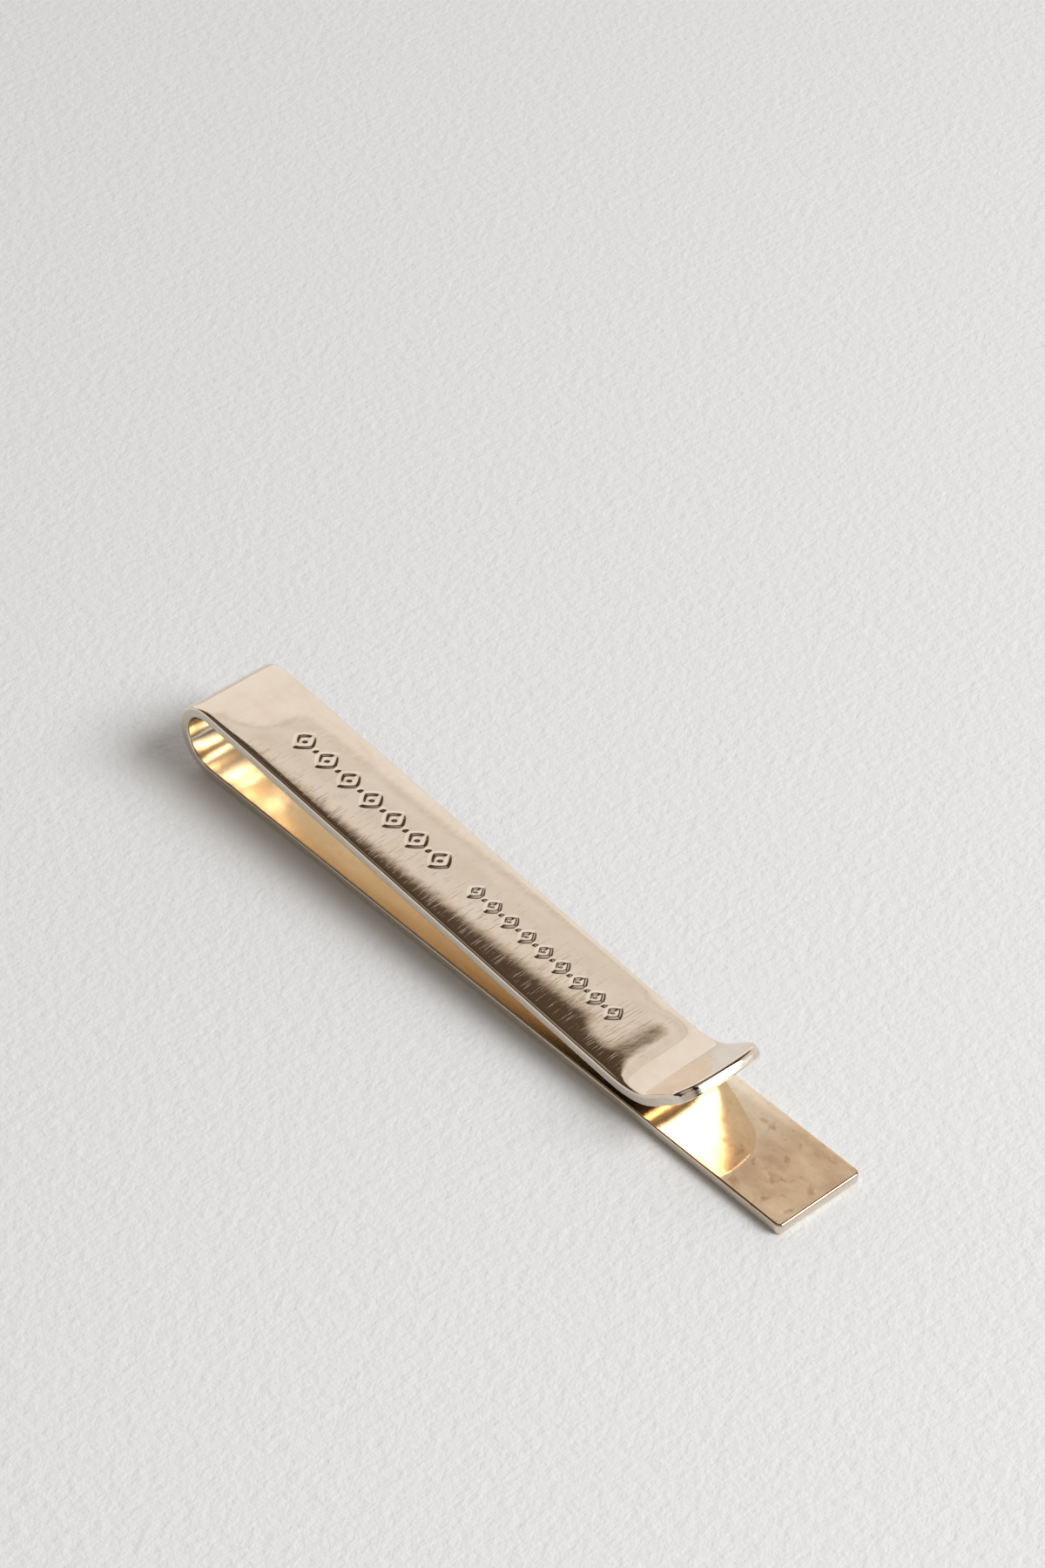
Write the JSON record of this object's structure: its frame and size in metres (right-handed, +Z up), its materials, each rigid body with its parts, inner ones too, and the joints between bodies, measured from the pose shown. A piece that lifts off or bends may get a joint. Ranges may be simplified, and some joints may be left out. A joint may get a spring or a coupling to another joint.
{
  "type": "money clip",
  "caption": "Slim spring clip bent from one metal strip: a flat bar, a tight bend, a sloping leaf with raised ornament, a nip and a lifted thumb lip.",
  "frame": {"origin": "middle of the clip's box, on the surface that the front bar lies on", "axes": "+X along the front bar towards its free end, +Y across the strip, +Z up from the bar to the leaf"},
  "size_m": [0.0674, 0.008, 0.0067],
  "materials": {
    "polished_gold": "mirror polish with light tarnish",
    "satin_gold": "pale gold, satin, finely scratched"
  },
  "bodies": {
    "bar": {"front_bar": "polished_gold", "bend_lower": "polished_gold", "bend_crown": "satin_gold", "bend_upper": "satin_gold"},
    "leaf": {"leaf_rear": "satin_gold", "leaf_front": "satin_gold", "nip_curve": "satin_gold", "thumb_lip": "satin_gold"}
  },
  "joints": [
    {"name": "leaf_lift", "type": "hinge", "parent": "bar", "child": "leaf", "pos_m": [-0.0301, 0, 0.00619], "axis": [0, -1, 0], "range_deg": [-0.55, 7], "stiffness_Nm_per_rad": 2.4}
  ]
}
